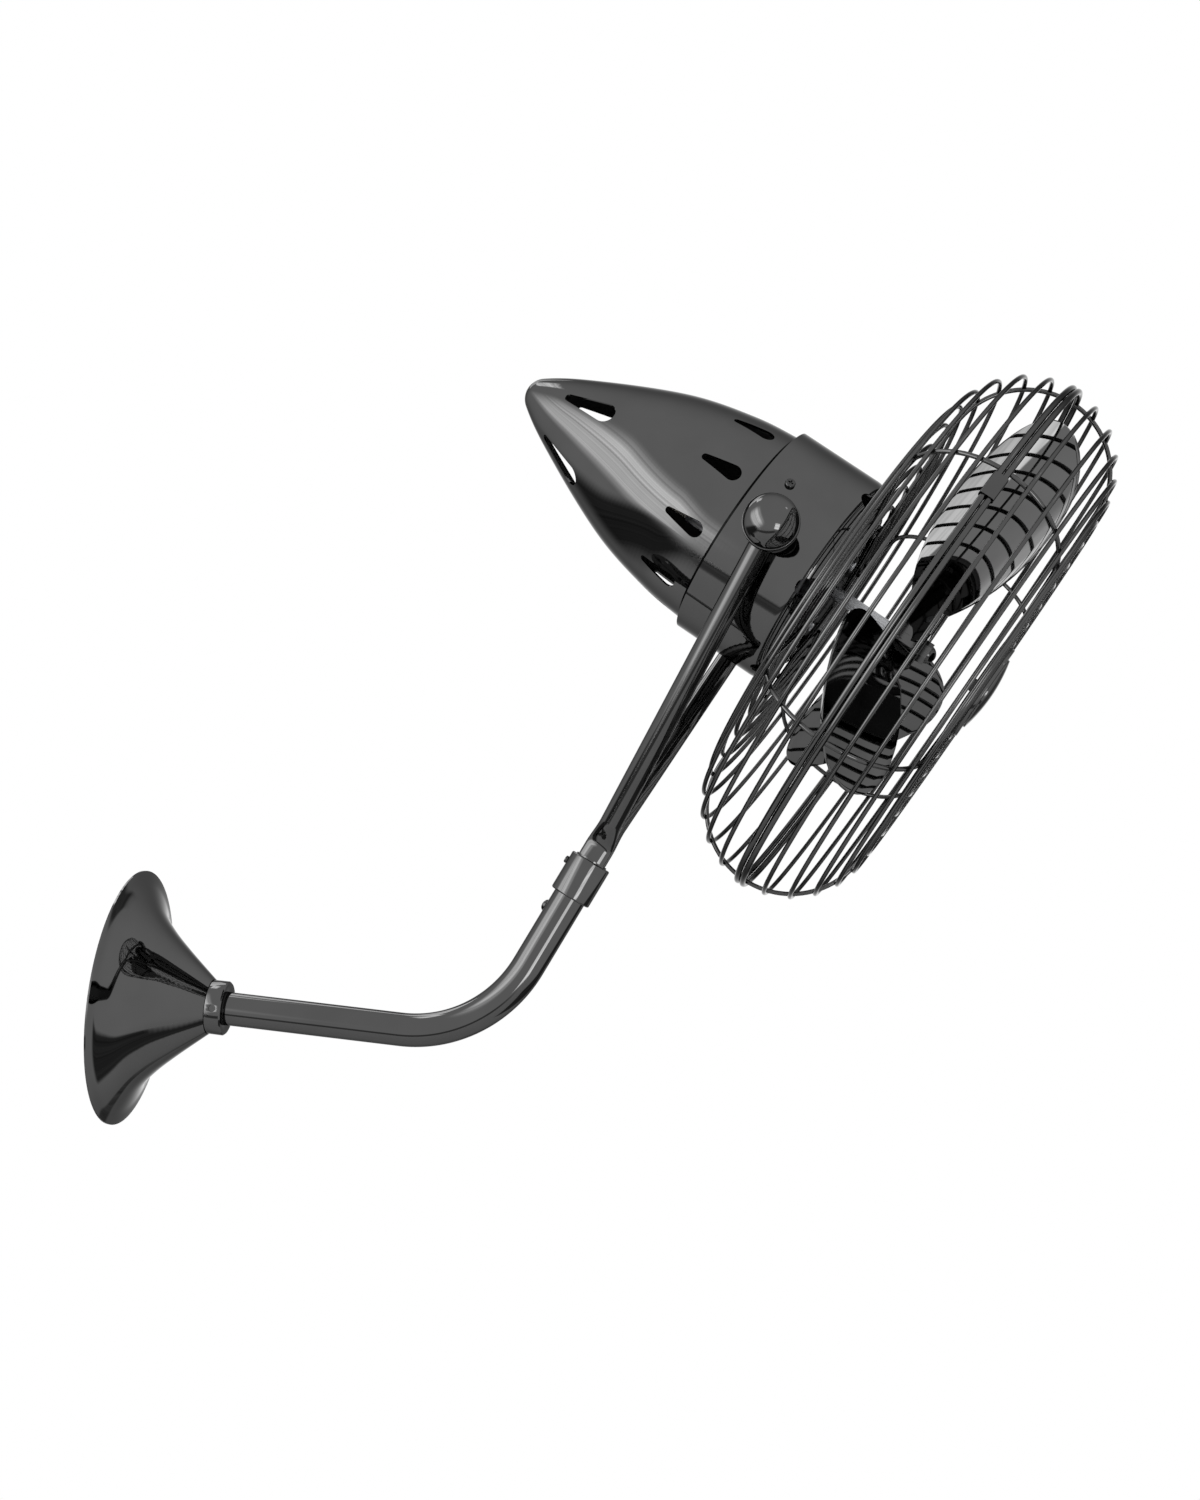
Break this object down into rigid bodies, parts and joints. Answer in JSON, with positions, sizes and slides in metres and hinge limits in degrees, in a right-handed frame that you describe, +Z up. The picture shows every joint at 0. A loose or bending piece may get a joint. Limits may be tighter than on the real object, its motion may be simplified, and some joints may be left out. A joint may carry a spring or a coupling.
{
  "type": "wall mounted fan",
  "caption": "Wall mounted directional fan: a bent tube arm and a fork hold a tilting bullet motor housing with blades inside a round wire cage.",
  "frame": {"origin": "middle of the wall plate's back face, on the wall", "axes": "+X out of the wall, +Z up, +Y to the right as one faces the wall"},
  "size_m": [0.6629, 0.419, 0.5958],
  "materials": {
    "canopy": "dark nickel plate, mirror polished",
    "arm": "dark nickel plate, mirror polished",
    "fork": "dark nickel plate, mirror polished",
    "shell": "dark nickel plate, mirror polished",
    "cage": "dark nickel plate on wire",
    "medallion": "dark nickel plate",
    "blade": "dark nickel plate, mirror polished",
    "hub": "dark nickel plate",
    "screw": "plated steel",
    "steel": "zinc plated",
    "casting": "die cast",
    "lamination": "stacked sheet steel",
    "winding": "enamelled copper wire",
    "plastic": "moulded",
    "washer": "nylon"
  },
  "bodies": {
    "wall": {"wall_plate": "steel", "arm_socket": "steel", "socket_screws": "screw", "terminal_block": "plastic", "canopy": "canopy", "canopy_collar": "arm", "collar_set_screw": "screw", "arm_tube": "arm", "coupler_sleeve": "arm", "sleeve_screw": "screw", "swivel_screw": "screw"},
    "fork": {"fork_stem": "steel", "fork_tube_near": "fork", "fork_tube_far": "fork", "pivot_barrel_near": "fork", "pivot_barrel_far": "fork", "pivot_cap_near": "fork", "pivot_cap_far": "fork"},
    "head": {"rear_shell": "shell", "front_shell": "shell", "shell_screws": "screw", "pivot_saddle_near": "steel", "pivot_saddle_far": "steel", "pivot_boss_near": "fork", "pivot_boss_far": "fork", "pivot_stud_near": "steel", "pivot_stud_far": "steel", "friction_washers": "washer", "pivot_nuts": "screw", "motor_front_bell": "casting", "motor_rear_bell": "casting", "stator_core": "lamination", "stator_windings": "winding", "front_bearing": "steel", "rear_bearing": "steel", "motor_flange_screws": "screw", "motor_mount_screws": "screw", "capacitor": "plastic", "capacitor_cup": "steel", "guard_mount_ring": "cage", "guard_screws": "screw", "rear_guard": "cage", "front_guard": "cage", "rim_clips": "cage", "medallion": "medallion", "medallion_clamp": "screw"},
    "rotor": {"motor_shaft": "steel", "rotor_core": "lamination", "blade_hub": "hub", "blade_1": "blade", "blade_2": "blade", "blade_3": "blade", "blade_screws": "screw", "hub_nut": "hub"}
  },
  "joints": [
    {"name": "fork_swivel", "type": "hinge", "parent": "wall", "child": "fork", "pos_m": [0.31241, 0, 0.10962], "axis": [0.4195, 0, 0.9078], "range_deg": [-90, 90]},
    {"name": "head_tilt", "type": "hinge", "parent": "fork", "child": "head", "pos_m": [0.43132, 0, 0.36697], "axis": [0, -1, 0], "range_deg": [-10, 70]},
    {"name": "blade_spin", "type": "hinge", "parent": "head", "child": "rotor", "pos_m": [0.43132, 0, 0.36697], "axis": [0.878, 0, -0.4787], "continuous": true}
  ]
}
